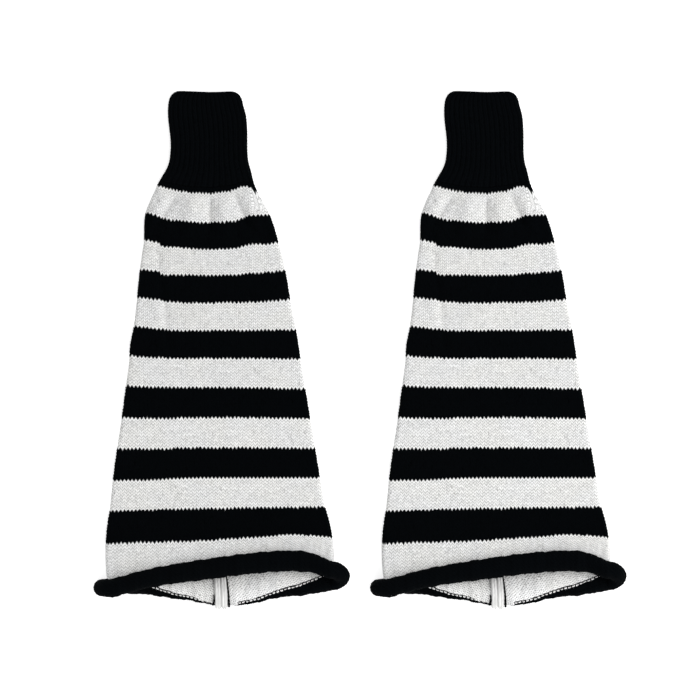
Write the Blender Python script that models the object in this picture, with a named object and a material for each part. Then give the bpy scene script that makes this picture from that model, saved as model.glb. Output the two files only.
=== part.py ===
"""A pair of striped knit leg warmers, laid flat side by side.

Each one is a flared panel of jersey, knitted downwards from a ribbed cuff, with white and
black stripes of ten rows, and seamed up the middle of its back. The last rows are black and
curl outwards by themselves, so the hem is a soft roll. Lying flat, the front panel rests on
the back panel, the back roll is tucked under and the front roll stands open above it.

Frame: +X across the pair, +Y from hem to cuff, +Z up from the surface. Sizes are millimetres.
"""

import math
from collections import namedtuple

import bmesh
import bpy

MM = 0.001

# Driving sizes of one leg warmer
PAIR_SPACING = 239.8
WALL = 2.4
SEAM_GAP = 0.3
# The measured edges lie this far outside the cloth, in the blur of its outline
EDGE_BLUR = 0.7
ROW_PITCH = 2.55
LAST_FLAT_ROW = 110
HEM_ROW = 132
LAST_ROW = 150

# Ribbed cuff: ribs are shared out over the two panels and the two side folds
CUFF_WALL = 2.8
RIB_HEIGHT = 0.9
CUFF_EASES_OVER_ROWS = 12
SQUARE_END_ROWS = 8
RIBS_ACROSS_PANEL = 14
RIBS_ROUND_FOLD = 3
POINTS_PER_RIB = 3

# Rolled hem: the roll is a curled wall whose free edge tucks in beside the panel
ROLL_RADIUS = 8.7
ROLL_TIGHTENS = 0.5
ROLL_STRAIGHT_HALF = 94.1
ROLL_TURN_RADIUS = 9.3
ROLL_END_FRONT = math.radians(305)
ROLL_END_BACK = math.radians(288)
LIFT_POWER = 1.6
HEM_SPREAD = 3.2
# Length of jersey that has turned onto the roll before the yarn changes to black
TURNED_FRONT_MIDDLE = 6.5
TURNED_BACK_MIDDLE = 10.0
TURNED_SIDES = -7.0

# The panel flares, so its seamed edges slope and its rows hang in a V at the back
BACK_SLOPE = 0.3
BACK_SLOPE_FULL_ROW = 60

# Seam allowances inside the back: two rolled edges lying side by side
SEAM_WIDTH = 11.0
SEAM_FIRST_ROW = 3
SEAM_HEIGHT_TOP = 1.0
SEAM_HEIGHT_HEM = 2.4
SEAM_GROWTH_POWER = 10

# Points round a ring
FRONT_STEPS = 20
BACK_STEPS = 14
FOLD_STEPS = 6

# One row for each measured row of knitting. y is the middle of the front, left and right are
# the outer edges, left_up and right_up are how far the row rises from its middle to its ends,
# and gap is the space between the panels.
Section = namedtuple("Section", "row y left right left_up right_up gap")
SECTIONS = (
    Section(-34, 224.6, -39.5, 11.5, 0.0, 0.0, 1.4),
    Section(-33, 222.0, -43.3, 15.6, 0.0, 0.0, 1.4),
    Section(-31.5, 218.0, -46.2, 18.5, 0.0, 0.0, 1.4),
    Section(-29, 211.4, -47.5, 20.2, 0.0, 0.0, 1.4),
    Section(-25, 201.1, -47.5, 22.7, 0.0, 0.0, 1.4),
    Section(-17, 180.3, -45.4, 23.2, 0.0, 0.0, 1.4),
    Section(-11, 164.6, -46.3, 24.3, 0.0, 0.0, 1.4),
    Section(-7, 154.2, -49.4, 26.8, 1.0, 0.5, 1.6),
    Section(-3.5, 145.3, -54.6, 29.6, 3.0, 2.0, 2.2),
    Section(0, 136.4, -59.0, 32.4, 5.0, 3.6, 3.0),
    Section(10, 110.4, -66.9, 43.0, 8.0, 6.0, 3.4),
    Section(20, 87.2, -68.3, 50.4, 7.5, 5.5, 2.8),
    Section(30, 64.6, -71.7, 56.3, 4.8, 3.9, 2.4),
    Section(40, 40.6, -74.1, 60.6, 4.6, 2.4, 2.3),
    Section(50, 16.7, -76.9, 65.6, 3.3, 0.5, 2.3),
    Section(60, -7.6, -80.3, 69.5, 2.0, -0.7, 2.3),
    Section(70, -32.8, -83.8, 73.6, 1.3, -1.2, 2.3),
    Section(80, -59.0, -87.4, 77.9, 0.0, -0.9, 2.3),
    Section(90, -85.1, -91.5, 82.1, -1.0, -0.4, 2.3),
    Section(100, -111.2, -95.3, 86.4, -2.4, 0.0, 2.3),
    Section(110, -138.0, -98.3, 91.2, -1.8, 1.3, 2.3),
)

# Soft folds in the front panel. They begin over this many rows below the cuff. Each is a
# trough (depth over 0) or a ridge (depth under 0) from its upper end to its lower end.
FOLDS_BEGIN_OVER_ROWS = 4
Fold = namedtuple("Fold", "x_top y_top x_end y_end half_width depth")
FOLDS = (
    Fold(-37, 137, -51, 116, 4.5, 2.0),
    Fold(-9, 136, -10, 110, 4.0, 1.7),
    Fold(10, 138, 20, 116, 4.5, 2.0),
    Fold(-24, 134, -27, 108, 6.5, -1.9),
    Fold(1, 134, 4, 108, 6.0, -1.9),
    Fold(24, 138, 31, 112, 5.5, -1.6),
    Fold(-49, 138, -59, 114, 5.0, -1.8),
    Fold(-56, 98, -46, 10, 4.0, 1.1),
)

# Centre line of the hem roll, front and back, along the width
RollPoint = namedtuple("RollPoint", "x y z")
ROLL_FRONT = (
    RollPoint(-94.1, -206.8, 27.3),
    RollPoint(-78, -202.4, 27.2),
    RollPoint(-62, -198.5, 26.7),
    RollPoint(-40, -194.0, 24.6),
    RollPoint(-10, -190.2, 23.0),
    RollPoint(25, -185.6, 22.4),
    RollPoint(60, -183.3, 22.6),
    RollPoint(79, -185.8, 24.4),
    RollPoint(94.1, -191.0, 27.3),
)
ROLL_BACK = (
    RollPoint(-94.1, -206.8, ROLL_RADIUS),
    RollPoint(-78, -203.8, ROLL_RADIUS),
    RollPoint(-62, -203.9, ROLL_RADIUS),
    RollPoint(-27, -208.8, ROLL_RADIUS),
    RollPoint(-6, -213.4, ROLL_RADIUS),
    RollPoint(6, -213.2, ROLL_RADIUS),
    RollPoint(25, -210.8, ROLL_RADIUS),
    RollPoint(51, -206.7, ROLL_RADIUS),
    RollPoint(72, -205.0, ROLL_RADIUS),
    RollPoint(94.1, -202.2, ROLL_RADIUS),
)

# Rows of the rings that the solids are lofted through
CUFF_OUTER_ROWS = (-34, -33, -31.5, -29, -22, -10, -4, 0)
CUFF_INNER_ROWS = (-34, -31.5, -22, -8, 0)
BODY_ROWS = (0, 3, 6, 9, 13, 20, 30, 45, 62, 80, 98, 110, 115, 119, 122.5, 125.5, 128, 130, 132)
HEM_ROWS = (132, 133.6, 135.2, 136.8, 138.4, 140, 141.6, 143.2, 144.8, 146.4, 148.2, 150)
SEAM_ROWS = BODY_ROWS[1:] + HEM_ROWS[1:2]

KNIT_BLACK = ("knit_black", (0.012, 0.012, 0.014, 1.0))
KNIT_STRIPED = ("knit_striped", (0.78, 0.78, 0.77, 1.0))
KNIT_ROUGHNESS = 0.9


def smooth_value(knots, values, at):
    """The value at a place between knots, on a curve that runs smoothly through all of them."""
    last = len(knots) - 1
    i = min(max(sum(k <= at for k in knots) - 1, 0), last - 1)

    def slope(j):
        before, after = max(j - 1, 0), min(j + 1, last)
        return (values[after] - values[before]) / (knots[after] - knots[before])

    span = knots[i + 1] - knots[i]
    t = min(max((at - knots[i]) / span, 0.0), 1.0)
    rise = values[i + 1] - values[i]
    start, end = slope(i) * span, slope(i + 1) * span
    return values[i] + t * (start + t * (3 * rise - 2 * start - end + t * (start + end - 2 * rise)))


def section_at(row):
    """The measured section at a row of knitting."""
    rows = [s.row for s in SECTIONS]
    return Section(row, *(smooth_value(rows, [s[k] for s in SECTIONS], row) for k in range(1, 7)))


def roll_point(table, x):
    """A point of the hem roll's centre line."""
    xs = [p.x for p in table]
    return tuple(smooth_value(xs, [p[k] for p in table], x) for k in range(1, 3))


def fold_height(x, y):
    """How far the soft folds raise the front panel at a place."""
    height = 0.0
    for fold in FOLDS:
        run_x, run_y = fold.x_end - fold.x_top, fold.y_end - fold.y_top
        length = math.hypot(run_x, run_y)
        along = ((x - fold.x_top) * run_x + (y - fold.y_top) * run_y) / length**2
        across = ((x - fold.x_top) * run_y - (y - fold.y_top) * run_x) / length
        fade = math.exp(-((max(0.0, -along, along - 1.0) * length / 9.0) ** 2))
        height -= fold.depth * fade * math.exp(-((across / fold.half_width) ** 2))
    return height


def ring_places(front_steps, back_steps, fold_steps):
    """Places round a flattened ring, as (across, turn).

    across runs from -1 at the left fold to 1 at the right one. turn is 0 on the front panel,
    pi on the back panel, and between them on a side fold.
    """
    places = [(1 - 2 * i / front_steps, 0.0) for i in range(front_steps)]
    places += [(-1.0, math.pi * i / fold_steps) for i in range(fold_steps)]
    places += [(-1 + 2 * i / back_steps, math.pi) for i in range(back_steps)]
    places += [(1.0, math.pi * (1 - i / fold_steps)) for i in range(fold_steps)]
    return places


def underside(row):
    """Height of the back panel's inside face above the surface it rests on."""
    share = min(1.0, max(0.0, 1 - row / CUFF_EASES_OVER_ROWS))
    return WALL + (CUFF_WALL + RIB_HEIGHT - WALL) * share**2 * (3 - 2 * share)


def flat_point(across, turn, row):
    """A point of the inside face where the tube lies flat."""
    here = section_at(row)
    wall = underside(row)
    fold_radius = here.gap / 2
    middle = (here.left + here.right) / 2
    half = (here.right - here.left) / 2 - EDGE_BLUR - wall - fold_radius
    x = middle + across * half + math.copysign(fold_radius * math.sin(turn), across)
    rise = here.left_up if across < 0 else here.right_up
    front = (1 + math.cos(turn)) / 2
    hung = (1 - front) * min(1.0, max(0.0, row / BACK_SLOPE_FULL_ROW))
    y = here.y + rise * (across**2 * (1 - hung) + hung) - BACK_SLOPE * half * (1 - abs(across)) * hung
    z = wall + 2 * fold_radius * front
    begun = min(1.0, max(0.0, row / FOLDS_BEGIN_OVER_ROWS))
    z += front * begun**2 * (3 - 2 * begun) * (1 - across**6) * fold_height(x, y)
    return (x, y, z)


def roll_frame(across, turn):
    """The hem roll's centre, and its outward direction as (x, z)."""
    front = (1 + math.cos(turn)) / 2
    x = across * ROLL_STRAIGHT_HALF
    front_y, front_z = roll_point(ROLL_FRONT, x)
    back_y, back_z = roll_point(ROLL_BACK, x)
    y = front_y * front + back_y * (1 - front)
    z = front_z * front + back_z * (1 - front)
    outward = (math.copysign(math.sin(turn), across), math.cos(turn))
    return (x + ROLL_TURN_RADIUS * outward[0], y, z), outward


def turned_length(across, turn):
    """Length of white jersey that has already turned onto the roll; below 0 it stops short."""
    front = (1 + math.cos(turn)) / 2
    middle = TURNED_FRONT_MIDDLE * front + TURNED_BACK_MIDDLE * (1 - front)
    return middle + (TURNED_SIDES - middle) * across**2


def lift_length(across, turn):
    """Length of jersey from the last flat row to where the roll begins."""
    start = flat_point(across, turn, LAST_FLAT_ROW)
    centre, outward = roll_frame(across, turn)
    end = (centre[0] - ROLL_RADIUS * outward[0], centre[1], centre[2] - ROLL_RADIUS * outward[1])
    return math.dist(start, end)


def hem_point(across, turn, reach):
    """A point of the inside face, this length of jersey past the last flat row."""
    centre, outward = roll_frame(across, turn)
    length = lift_length(across, turn)
    if reach > length:
        angle = (reach - length) / ROLL_RADIUS
        radius = ROLL_RADIUS - ROLL_TIGHTENS * max(0.0, angle / math.pi - 1)
        side = radius * math.cos(angle)
        return (
            centre[0] - side * outward[0],
            centre[1] - radius * math.sin(angle),
            centre[2] - side * outward[1],
        )
    start = flat_point(across, turn, LAST_FLAT_ROW)
    t = reach / length
    eased = (t**LIFT_POWER) ** 2 * (3 - 2 * t**LIFT_POWER)
    spread = HEM_SPREAD * 4 * t * (1 - t) * across
    return (
        start[0] + (centre[0] - ROLL_RADIUS * outward[0] - start[0]) * t + spread,
        start[1] + (centre[1] - start[1]) * t,
        start[2] + (centre[2] - ROLL_RADIUS * outward[1] - start[2]) * eased,
    )


def inside_point(across, turn, row):
    """A point of the cloth's inside face, at a row of knitting."""
    if row <= LAST_FLAT_ROW:
        return flat_point(across, turn, row)
    lift = lift_length(across, turn)
    turned = turned_length(across, turn)
    if row <= HEM_ROW:
        return hem_point(across, turn, (lift + turned) * (row - LAST_FLAT_ROW) / (HEM_ROW - LAST_FLAT_ROW))
    front = (1 + math.cos(turn)) / 2
    end_angle = ROLL_END_FRONT * front + ROLL_END_BACK * (1 - front)
    left = end_angle * ROLL_RADIUS - turned
    return hem_point(across, turn, lift + turned + left * (row - HEM_ROW) / (LAST_ROW - HEM_ROW))


def subtract(a, b):
    return (a[0] - b[0], a[1] - b[1], a[2] - b[2])


def moved(point, direction, distance):
    return tuple(p + distance * d for p, d in zip(point, direction))


def cloth_ring(places, row, cut=0.0):
    """A ring of the inside face with its unit normals towards the outside of the garment.

    cut moves the whole ring along the cloth, so that two solids can meet at one row with
    parallel edges. The cuff's cast-on end is cut square.
    """
    ring = [inside_point(*place, row) for place in places]
    points, normals = [], []
    for i, place in enumerate(places):
        round_it = subtract(ring[(i + 1) % len(ring)], ring[i - 1])
        along = subtract(inside_point(*place, row + 0.4), inside_point(*place, row - 0.4))
        n = (
            round_it[1] * along[2] - round_it[2] * along[1],
            round_it[2] * along[0] - round_it[0] * along[2],
            round_it[0] * along[1] - round_it[1] * along[0],
        )
        n = (n[0], n[1] * min(1.0, (row - CUFF_OUTER_ROWS[0]) / SQUARE_END_ROWS), n[2])
        size = math.sqrt(sum(c * c for c in n))
        normals.append(tuple(c / size for c in n))
        length = math.sqrt(sum(c * c for c in along))
        points.append(moved(ring[i], along, cut / length))
    return points, normals


def cloth_rings(places, rows, cut_start, cut_end):
    """Rings at these rows, with the first and the last drawn back from the seams."""
    rings = [cloth_ring(places, row) for row in rows[1:-1]]
    return [cloth_ring(places, rows[0], cut_start)] + rings + [cloth_ring(places, rows[-1], -cut_end)]


def mesh_object(name, points, faces, material, leg):
    """A named solid from points in millimetres, hung on its leg warmer's empty."""
    mesh = bpy.data.meshes.new(name)
    mesh.from_pydata([tuple(c * MM for c in p) for p in points], [], faces)
    shape = bmesh.new()
    shape.from_mesh(mesh)
    bmesh.ops.recalc_face_normals(shape, faces=shape.faces)
    shape.to_mesh(mesh)
    shape.free()
    mesh.shade_smooth()
    mesh.set_sharp_from_angle(angle=math.radians(50))
    mesh.materials.append(material)
    made = bpy.data.objects.new(name, mesh)
    made.parent = leg
    collection.objects.link(made)
    return made


def band_faces(first, second, count):
    """Quads between two closed rings that start at these point numbers."""
    return [
        (first + i, first + (i + 1) % count, second + (i + 1) % count, second + i)
        for i in range(count)
    ]


def tube_wall(name, outer_rings, inner_rings, material, leg):
    """A closed wall between outer rings and inner rings, rimmed at both ends."""
    count = len(outer_rings[0])
    points = [p for ring in list(outer_rings) + list(inner_rings) for p in ring]
    last_outer = (len(outer_rings) - 1) * count
    first_inner = last_outer + count
    last_inner = len(points) - count
    faces = band_faces(0, first_inner, count) + band_faces(last_outer, last_inner, count)
    for start in [*range(0, last_outer, count), *range(first_inner, last_inner, count)]:
        faces += band_faces(start, start + count, count)
    return mesh_object(name, points, faces, material, leg)


def knit_material(finish):
    name, colour = finish
    material = bpy.data.materials.get(name) or bpy.data.materials.new(name)
    material.use_nodes = True
    shader = material.node_tree.nodes["Principled BSDF"]
    shader.inputs["Base Color"].default_value = colour
    shader.inputs["Roughness"].default_value = KNIT_ROUGHNESS
    shader.inputs["Metallic"].default_value = 0.0
    return material


def make_cuff(side, leg):
    """The ribbed cuff: raised ribs outside over a plain inside face."""
    places = ring_places(
        RIBS_ACROSS_PANEL * POINTS_PER_RIB,
        RIBS_ACROSS_PANEL * POINTS_PER_RIB,
        RIBS_ROUND_FOLD * POINTS_PER_RIB,
    )
    heights = [CUFF_WALL + (RIB_HEIGHT if i % POINTS_PER_RIB else 0.0) for i in range(len(places))]
    outer = [
        [moved(p, n, h) for p, n, h in zip(points, normals, heights)]
        for points, normals in cloth_rings(places, CUFF_OUTER_ROWS, 0.0, SEAM_GAP / 2)
    ]
    inner = [points for points, _ in cloth_rings(places, CUFF_INNER_ROWS, 0.0, SEAM_GAP / 2)]
    tube_wall(f"{side}_cuff", outer, inner, knit_material(KNIT_BLACK), leg)


def make_tube(name, rows, cut_start, material, leg):
    """A plain wall of knitting between two rows."""
    places = ring_places(FRONT_STEPS, BACK_STEPS, FOLD_STEPS)
    rings = cloth_rings(places, rows, cut_start, SEAM_GAP / 2 if rows[-1] < LAST_ROW else 0.0)
    outer = [[moved(p, n, WALL) for p, n in zip(*ring)] for ring in rings]
    tube_wall(name, outer, [points for points, _ in rings], material, leg)


def make_seam(side, leg):
    """The seam allowances: two soft ridges side by side on the inside of the back.

    Their base is made from the points of the wall that they lie on, moved in by the seam gap.
    """
    shares = (-1.0, -0.9, -0.5, -0.1, 0.0, 0.1, 0.5, 0.9, 1.0)
    heights = (0.0, 0.6, 1.0, 0.85, 0.55, 0.85, 1.0, 0.6, 0.0)
    beside = 2 / BACK_STEPS
    points = []
    for row in SEAM_ROWS:
        middle = inside_point(0.0, math.pi, row)
        sides = (inside_point(-beside, math.pi, row), inside_point(beside, math.pi, row))
        ring = []
        for share in shares:
            run = subtract(sides[share > 0], middle)
            width = math.sqrt(sum(c * c for c in run))
            ring.append(moved(middle, run, abs(share) * SEAM_WIDTH / 2 / width))
        along = subtract(inside_point(0.0, math.pi, row + 0.4), inside_point(0.0, math.pi, row - 0.4))
        size = math.hypot(along[1], along[2])
        inward = (0.0, along[2] / size, -along[1] / size)
        grown = min(1.0, max(0.0, (row - SEAM_FIRST_ROW) / (LAST_FLAT_ROW - SEAM_FIRST_ROW)))
        height = SEAM_HEIGHT_TOP + (SEAM_HEIGHT_HEM - SEAM_HEIGHT_TOP) * grown**SEAM_GROWTH_POWER
        points += [moved(p, inward, SEAM_GAP) for p in (ring[0], ring[4], ring[-1])]
        points += [moved(p, inward, SEAM_GAP + h * height) for p, h in zip(ring, heights)][-2:0:-1]
    count = len(points) // len(SEAM_ROWS)
    faces = [tuple(range(count)), tuple(range(len(points) - count, len(points)))]
    for j in range(len(SEAM_ROWS) - 1):
        faces += band_faces(j * count, (j + 1) * count, count)
    mesh_object(f"{side}_seam", points, faces, knit_material(KNIT_STRIPED), leg)


for old in list(bpy.data.objects):
    bpy.data.objects.remove(old)
collection = bpy.data.collections.new("knit_leg_warmers")
bpy.context.scene.collection.children.link(collection)
for side, direction in (("left", -1), ("right", 1)):
    leg = bpy.data.objects.new(f"{side}_leg_warmer", None)
    leg.location = (direction * PAIR_SPACING / 2 * MM, 0.0, 0.0)
    collection.objects.link(leg)
    make_cuff(side, leg)
    make_tube(f"{side}_body", BODY_ROWS, SEAM_GAP / 2, knit_material(KNIT_STRIPED), leg)
    make_tube(f"{side}_hem", HEM_ROWS, SEAM_GAP / 2, knit_material(KNIT_BLACK), leg)
    make_seam(side, leg)
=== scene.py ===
"""A pair of striped knit leg warmers, laid flat side by side and seen from straight above.

Each leg warmer is one panel of jersey knitted down from a ribbed cuff and seamed up the middle
of its back. Its last rows are black and curl outwards into a soft roll. Lengths are millimetres
until a mesh is made; rows are counted down from the cuff and wales (columns of stitches) to
either side of the middle of the front.
"""

from collections import namedtuple

import bpy
import numpy as np
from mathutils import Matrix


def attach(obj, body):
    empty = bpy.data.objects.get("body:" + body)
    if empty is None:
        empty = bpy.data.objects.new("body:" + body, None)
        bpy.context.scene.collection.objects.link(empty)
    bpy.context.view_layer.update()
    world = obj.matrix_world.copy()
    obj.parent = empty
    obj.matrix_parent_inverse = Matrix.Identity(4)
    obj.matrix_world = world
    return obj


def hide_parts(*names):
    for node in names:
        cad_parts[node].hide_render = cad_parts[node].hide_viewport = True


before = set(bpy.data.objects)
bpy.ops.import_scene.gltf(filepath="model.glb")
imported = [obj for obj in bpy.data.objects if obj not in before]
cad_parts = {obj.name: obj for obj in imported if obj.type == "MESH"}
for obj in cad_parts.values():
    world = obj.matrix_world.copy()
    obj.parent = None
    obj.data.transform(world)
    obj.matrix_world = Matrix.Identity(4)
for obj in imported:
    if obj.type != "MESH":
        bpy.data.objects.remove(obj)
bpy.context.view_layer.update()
MM = 0.001

# Floor, light and camera: a white table top under a big soft light, with the camera far above
# so that the rolls don't lean outwards. The view is 608 mm wide and a little left of centre.
VIEW_WIDTH = 608.1
VIEW_CENTRE = (-8.3, -0.3)
CAMERA_HEIGHT = 9000.0
SENSOR_WIDTH = 36.0
WORLD_STRENGTH = 0.77
KEY_LIGHT = ((1750.0, -300.0, 2000.0), 1900.0, 46.0)
FLOOR_COLOUR = (0.97, 0.97, 0.97, 1.0)
FLOOR_GLOW = 0.5
FLOOR_HALF = 12000.0

scene = bpy.context.scene
scene.view_settings.view_transform = "Standard"
world = bpy.data.worlds.new("studio")
world.use_nodes = True
world.node_tree.nodes["Background"].inputs["Color"].default_value = (1.0, 1.0, 1.0, 1.0)
world.node_tree.nodes["Background"].inputs["Strength"].default_value = WORLD_STRENGTH
scene.world = world

floor_mesh = bpy.data.meshes.new("table_top")
floor_edge = FLOOR_HALF * MM
floor_corners = [
    (x * floor_edge, y * floor_edge, 0.0) for x, y in ((-1, -1), (1, -1), (1, 1), (-1, 1))
]
floor_mesh.from_pydata(floor_corners, [], [(0, 1, 2, 3)])
floor_paint = bpy.data.materials.new("table_top")
floor_paint.use_nodes = True
floor_shader = floor_paint.node_tree.nodes["Principled BSDF"]
floor_shader.inputs["Base Color"].default_value = FLOOR_COLOUR
floor_shader.inputs["Emission Color"].default_value = (1.0, 1.0, 1.0, 1.0)
floor_shader.inputs["Emission Strength"].default_value = FLOOR_GLOW
floor_shader.inputs["Roughness"].default_value = 1.0
floor_shader.inputs["Specular IOR Level"].default_value = 0.0
floor_mesh.materials.append(floor_paint)
table_top = bpy.data.objects.new("table_top", floor_mesh)
scene.collection.objects.link(table_top)

key_place, key_size, key_power = KEY_LIGHT
key = bpy.data.objects.new("key_light", bpy.data.lights.new("key_light", "AREA"))
key.data.size = key_size * MM
key.data.energy = key_power
key.location = [c * MM for c in key_place]
key.rotation_euler = (-key.location).to_track_quat("-Z", "Y").to_euler()
key.visible_camera = False
scene.collection.objects.link(key)

camera = bpy.data.objects.new("camera", bpy.data.cameras.new("camera"))
camera.location = (VIEW_CENTRE[0] * MM, VIEW_CENTRE[1] * MM, CAMERA_HEIGHT * MM)
camera.data.sensor_width = SENSOR_WIDTH
camera.data.lens = SENSOR_WIDTH * CAMERA_HEIGHT / VIEW_WIDTH
camera.data.clip_end = 100.0
scene.collection.objects.link(camera)
scene.camera = camera

# The striped panel: jersey in soft matt cotton yarn, ten rows to a stripe, flared by adding
# stitches at its two edges. It is worn as a tube and lies here in two layers that meet in
# rounded folds at the sides, with gathers where it joins the tight cuff.
PAIR_SPACING = 239.8
WALL = 2.4
CUFF_EDGE_IN = 1.0
BODY_EDGE_IN = 0.35
HEM_EDGE_IN = 0.45
ROW_PITCH = 2.55
CUFF_WALL = 2.8
RIB_HEIGHT = 0.9
CUFF_EASES_OVER_ROWS = 12
LAST_FLAT_ROW = 110
HEM_ROW = 132
LAST_ROW = 150
FIRST_ROW = -34
SQUARE_END_ROWS = 8
ROLL_RADIUS = 8.7
ROLL_TIGHTENS = 0.5
ROLL_STRAIGHT_HALF = 94.1
ROLL_TURN_RADIUS = 9.3
ROLL_END_FRONT = np.radians(305)
ROLL_END_BACK = np.radians(288)
LIFT_POWER = 1.6
ROLL_LEFT_END_THINNER = 0.7
ROLL_FRONT_FULLER = 0.85
ROLL_RIGHT_END_SHARE = 1.2
ROWS_LOWER_BEFORE_HEM = (0.12, 0.17, 0.15)
HEM_SPREAD = 3.2
TURNED_FRONT_MIDDLE = 6.5
TURNED_BACK_MIDDLE = 10.0
TURNED_SIDES = -7.0
BACK_SLOPE = 0.3
BACK_SLOPE_FULL_ROW = 60
FOLDS_BEGIN_OVER_ROWS = 4

# The flat part, row by row: its height in the photo, its two edges, how far the row rises
# towards each edge, and the free gap between the two layers.
Section = namedtuple("Section", "row y left right left_up right_up gap")
SECTIONS = (
    Section(-34, 224.6, -39.5, 11.5, 0.0, 0.0, 1.4),
    Section(-33, 222.0, -43.3, 15.6, 0.0, 0.0, 1.4),
    Section(-31.5, 218.0, -46.2, 18.5, 0.0, 0.0, 1.4),
    Section(-29, 211.4, -47.5, 20.2, 0.0, 0.0, 1.4),
    Section(-25, 201.1, -47.5, 22.7, 0.0, 0.0, 1.4),
    Section(-17, 180.3, -45.4, 23.2, 0.0, 0.0, 1.4),
    Section(-11, 164.6, -46.3, 24.3, 0.0, 0.0, 1.4),
    Section(-7, 154.2, -49.4, 26.8, 1.0, 0.5, 1.6),
    Section(-3.5, 145.3, -54.6, 29.6, 3.0, 2.0, 2.2),
    Section(0, 136.4, -59.0, 32.4, 5.0, 3.6, 3.0),
    Section(10, 110.4, -66.9, 43.0, 8.0, 6.0, 3.4),
    Section(20, 87.2, -68.3, 50.4, 7.5, 5.5, 2.8),
    Section(30, 64.6, -71.7, 56.3, 4.8, 3.9, 2.4),
    Section(40, 40.6, -74.1, 60.6, 4.6, 2.4, 2.3),
    Section(50, 16.7, -76.9, 65.6, 3.3, 0.5, 2.3),
    Section(60, -7.6, -80.3, 69.5, 2.0, -0.7, 2.3),
    Section(70, -32.8, -83.8, 73.6, 1.3, -1.2, 2.3),
    Section(80, -59.0, -87.4, 77.9, 0.0, -0.9, 2.3),
    Section(90, -85.1, -91.5, 82.1, -1.0, -0.4, 2.3),
    Section(100, -111.2, -95.3, 86.4, -2.4, 0.0, 2.3),
    Section(110, -138.0, -98.3, 91.2, -1.8, 1.3, 2.3),
)
# Where the edges stand out a little, and the soft folds (a depth below 0 stands up).
EdgeBulge = namedtuple("EdgeBulge", "row rows left right")
EDGE_BULGES = (EdgeBulge(56, 4.0, 1.1, 0.0), EdgeBulge(-19, 4.5, 0.0, 0.6))
Fold = namedtuple("Fold", "x_top y_top x_end y_end half_width depth")
FOLDS = (
    Fold(-37, 137, -51, 116, 4.2, 2.5),
    Fold(-9, 136, -10, 110, 3.8, 2.3),
    Fold(10, 138, 20, 116, 4.0, 2.6),
    Fold(-24, 134, -27, 108, 6.5, -1.9),
    Fold(1, 134, 4, 108, 6.0, -1.9),
    Fold(24, 138, 31, 112, 5.5, -1.6),
    Fold(-49, 138, -59, 114, 5.0, -1.8),
    Fold(-56, 98, -46, 10, 4.0, 1.1),
)
# Where the rows of the upper layer wander, beside its folds and along one sharp crease.
Shift = namedtuple("Shift", "x y half_width half_length up")
SHIFTS = (
    Shift(20, 138, 8, 10, 3.0),
    Shift(27, 112, 8.5, 15, 3.3),
    Shift(26, 90, 9, 12, 1.8),
    Shift(29, 62, 10, 10, 0.8),
    Shift(29.5, 138, 2.6, 14, -15.0),
    Shift(-8, 138, 5, 8, -0.9),
    Shift(-24, 138, 13, 8, -0.9),
    Shift(-47, 110, 8, 8, -1.8),
    Shift(-37, 26, 16, 34, -1.1),
    Shift(5, 42, 8, 10, 0.6),
    Shift(-52, -68, 20, 52, -0.8),
    Shift(-70, -136, 24, 12, -0.9),
    Shift(-66, -113, 14, 10, -0.6),
    Shift(35, -136, 45, 8, 0.6),
)
Crease = namedtuple("Crease", "x y_top y_end reach left_up right_down")
CREASE = Crease(-53.0, 112, 40, 13, 0.7, 2.0)
CUFF_TOP_DIP = 0.9
RollPoint = namedtuple("RollPoint", "x y z")
ROLL_FRONT = (
    RollPoint(-94.1, -206.4, 27.3),
    RollPoint(-78, -201.9, 27.2),
    RollPoint(-62, -197.9, 26.7),
    RollPoint(-40, -194.0, 24.6),
    RollPoint(-10, -189.8, 23.0),
    RollPoint(25, -185.2, 22.4),
    RollPoint(60, -182.9, 22.6),
    RollPoint(79, -184.7, 24.4),
    RollPoint(94.1, -190.5, 27.3),
)
Bump = namedtuple("Bump", "length height start")
ROLL_BUMPS = (Bump(11.3, 0.2, 0.1), Bump(17.9, 0.26, 0.4), Bump(5.1, 0.16, 0.7))
SEAM_UNDER_ROLL = 1.6
ROLL_BACK = (
    RollPoint(-94.1, -206.2, ROLL_RADIUS),
    RollPoint(-78, -203.8, ROLL_RADIUS),
    RollPoint(-62, -204.5, ROLL_RADIUS),
    RollPoint(-45, -207.3, ROLL_RADIUS),
    RollPoint(-27, -209.5, ROLL_RADIUS),
    RollPoint(-6, -213.4, ROLL_RADIUS + SEAM_UNDER_ROLL),
    RollPoint(6, -213.5, ROLL_RADIUS + SEAM_UNDER_ROLL),
    RollPoint(23, -212.8, ROLL_RADIUS),
    RollPoint(51, -206.7, ROLL_RADIUS),
    RollPoint(72, -205.0, ROLL_RADIUS),
    RollPoint(94.1, -202.2, ROLL_RADIUS),
)


def through(table, name, at):
    """Values of a table's column at places between its rows, on a smooth curve through them."""
    knots = np.array([line[0] for line in table], float)
    values = np.array([getattr(line, name) for line in table], float)
    order = np.arange(len(knots))
    before, after = np.maximum(order - 1, 0), np.minimum(order + 1, len(knots) - 1)
    slope = (values[after] - values[before]) / (knots[after] - knots[before])
    i = np.clip(np.searchsorted(knots, at, side="right") - 1, 0, len(knots) - 2)
    span = knots[i + 1] - knots[i]
    t = np.clip((at - knots[i]) / span, 0.0, 1.0)
    rise, start, end = values[i + 1] - values[i], slope[i] * span, slope[i + 1] * span
    return values[i] + t * (start + t * (3 * rise - 2 * start - end + t * (start + end - 2 * rise)))


def eased(t):
    t = np.clip(t, 0.0, 1.0)
    return t * t * (3 - 2 * t)


def underside(row):
    """Height of the lower layer's inside face above the table."""
    return WALL + (CUFF_WALL + RIB_HEIGHT - WALL) * eased(1 - row / CUFF_EASES_OVER_ROWS)


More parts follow.
